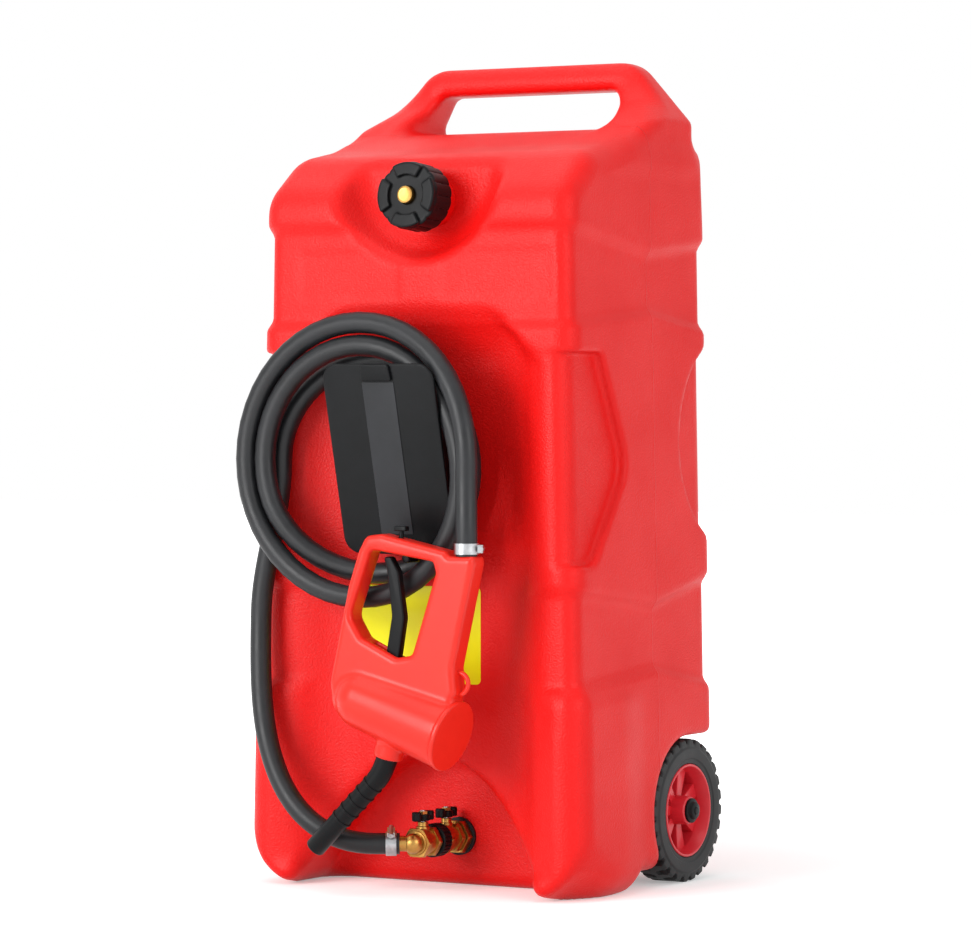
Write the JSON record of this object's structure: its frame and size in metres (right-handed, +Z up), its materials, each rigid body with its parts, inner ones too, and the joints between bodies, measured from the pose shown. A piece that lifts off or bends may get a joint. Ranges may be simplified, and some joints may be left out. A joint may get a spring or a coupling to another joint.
{
  "type": "fuel transfer tank",
  "caption": "Upright wheeled fuel tank with a loop handle, screw cap, coiled hose on a front hanger, shut-off valves and a hand-pump nozzle.",
  "frame": {"origin": "ground level, in the middle of the footprint measured without the hose", "axes": "+X to the tank's right as seen from the front, +Y to the rear where the wheels are, +Z up"},
  "size_m": [0.41, 0.4194, 0.866],
  "materials": {
    "tank_red": "orange-peel moulded polyethylene",
    "nozzle_red": "smooth moulded",
    "rim_red": "smooth moulded",
    "black_plastic": "fine moulded",
    "strip_grey": "satin",
    "brass": "machined",
    "steel": "zinc plated",
    "hose_rubber": "smooth extruded",
    "seal_rubber": "moulded",
    "tyre_rubber": "moulded tread",
    "label_yellow": "printed film, bare"
  },
  "bodies": {
    "tank": {"tank_shell": "tank_red", "axle": "steel", "washer_left": "steel", "washer_right": "steel", "push_cap_left": "black_plastic", "push_cap_right": "black_plastic", "hose_hanger": "black_plastic", "plate_strip": "strip_grey", "hanger_screws": "steel", "label_plate": "label_yellow", "outlet_gasket": "seal_rubber", "outlet_fitting": "brass", "outlet_locknut": "brass", "tank_valve": "brass", "coupling_washer": "seal_rubber", "hose_valve": "brass", "hose_elbow": "brass", "lead_clamp": "steel", "tail_clamp": "steel", "hose_lead": "hose_rubber", "hose_coil": "hose_rubber", "hose_tail": "hose_rubber", "nozzle_front": "nozzle_red", "nozzle_rear": "nozzle_red", "nozzle_screws": "steel", "pump_cap": "nozzle_red", "trigger_pin": "steel", "stem_spring": "steel", "hose_inlet": "steel", "spout": "black_plastic", "spout_elbow": "black_plastic"},
    "wheel_left": {"wheel_rim_left": "rim_red", "tyre_left": "tyre_rubber"},
    "wheel_right": {"wheel_rim_right": "rim_red", "tyre_right": "tyre_rubber"},
    "cap_seal": {"cap_gasket": "seal_rubber"},
    "cap": {"cap_body": "black_plastic", "vent_spring": "steel"},
    "vent": {"vent_button": "brass"},
    "tank_valve_handle": {"tank_ball": "steel", "tank_lever": "black_plastic", "tank_lever_nut": "brass"},
    "hose_valve_handle": {"hose_ball": "steel", "hose_lever": "black_plastic", "hose_lever_nut": "brass"},
    "ring": {"coupling_ring": "black_plastic"},
    "trigger": {"trigger": "black_plastic"},
    "stem": {"valve_stem": "brass"},
    "latch": {"trigger_latch": "black_plastic"}
  },
  "joints": [
    {"name": "wheel_left_spin", "type": "hinge", "parent": "tank", "child": "wheel_left", "pos_m": [-0.176, 0.13425, 0.0755], "axis": [1, 0, 0], "continuous": true},
    {"name": "wheel_right_spin", "type": "hinge", "parent": "tank", "child": "wheel_right", "pos_m": [0.176, 0.13425, 0.0755], "axis": [1, 0, 0], "continuous": true},
    {"name": "cap_lift", "type": "slide", "parent": "tank", "child": "cap_seal", "axis": [0, -0.9962, 0.0872], "range_m": [0, 0.01]},
    {"name": "cap_turn", "type": "hinge", "parent": "cap_seal", "child": "cap", "pos_m": [0, -0.06175, 0.714], "axis": [0, -0.9962, 0.0872], "range_deg": [0, 720]},
    {"name": "vent_press", "type": "slide", "parent": "cap", "child": "vent", "axis": [0, -0.9962, 0.0872], "range_m": [-0.003, 0], "stiffness_N_per_m": 400, "springref_m": 0.001, "deforming": ["vent_spring"]},
    {"name": "tank_valve_turn", "type": "hinge", "parent": "tank", "child": "tank_valve_handle", "pos_m": [0.004, -0.04375, 0.052], "axis": [0, 0, 1], "range_deg": [0, 90]},
    {"name": "hose_valve_turn", "type": "hinge", "parent": "tank", "child": "hose_valve_handle", "pos_m": [0.004, -0.08975, 0.052], "axis": [0, 0, 1], "range_deg": [0, 90]},
    {"name": "ring_turn", "type": "hinge", "parent": "tank", "child": "ring", "pos_m": [0.004, -0.06675, 0.052], "axis": [0, -1, 0], "range_deg": [0, 720]},
    {"name": "trigger_pull", "type": "hinge", "parent": "tank", "child": "trigger", "pos_m": [0.02, -0.17275, 0.244], "axis": [0, 1, 0], "range_deg": [0, 18], "stiffness_Nm_per_rad": 0.8, "springref_deg": -8.59},
    {"name": "stem_push", "type": "slide", "parent": "tank", "child": "stem", "axis": [-1, 0, 0], "range_m": [0, 0.0045], "deforming": ["stem_spring"]},
    {"name": "latch_slide", "type": "slide", "parent": "tank", "child": "latch", "axis": [0, 0, 1], "range_m": [-0.005, 0]}
  ],
  "couplings": [
    {"joint": "cap_lift", "follows": "cap_turn", "m_per_rad": 0.00079577},
    {"joint": "stem_push", "follows": "trigger_pull", "m_per_rad": 0.0131}
  ]
}
